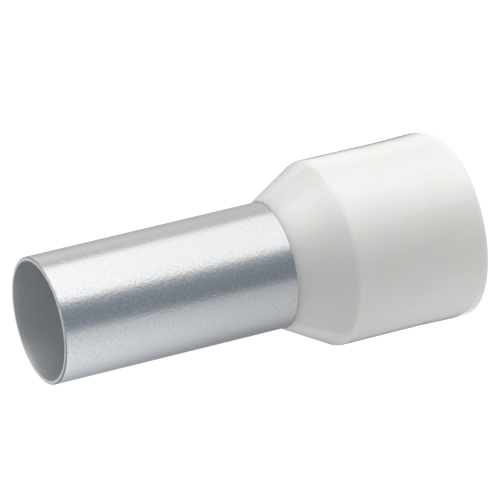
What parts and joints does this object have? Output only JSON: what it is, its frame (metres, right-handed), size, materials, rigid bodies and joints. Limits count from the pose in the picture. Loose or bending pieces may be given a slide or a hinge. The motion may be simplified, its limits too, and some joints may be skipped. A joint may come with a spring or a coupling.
{
  "type": "wire ferrule",
  "caption": "Insulated wire end ferrule: a tin-plated copper tube to crimp on a stranded conductor, with a funnelled ivory plastic collar that takes the wire's insulation.",
  "frame": {"origin": "centre of the collar's rear rim, on the flat face that the part stands on", "axes": "+Z along the sleeve's axis, from the collar's open rear rim to the sleeve's cut tip; X and Y lie across it and are alike, because the part is round"},
  "size_m": [0.0092, 0.0092, 0.0216],
  "materials": {
    "tinned_copper": "bright tin plating with a fine satin grain",
    "ivory_plastic": "smooth moulded satin"
  },
  "bodies": {
    "root": {"copper_sleeve": "tinned_copper", "plastic_collar": "ivory_plastic"}
  },
  "joints": []
}
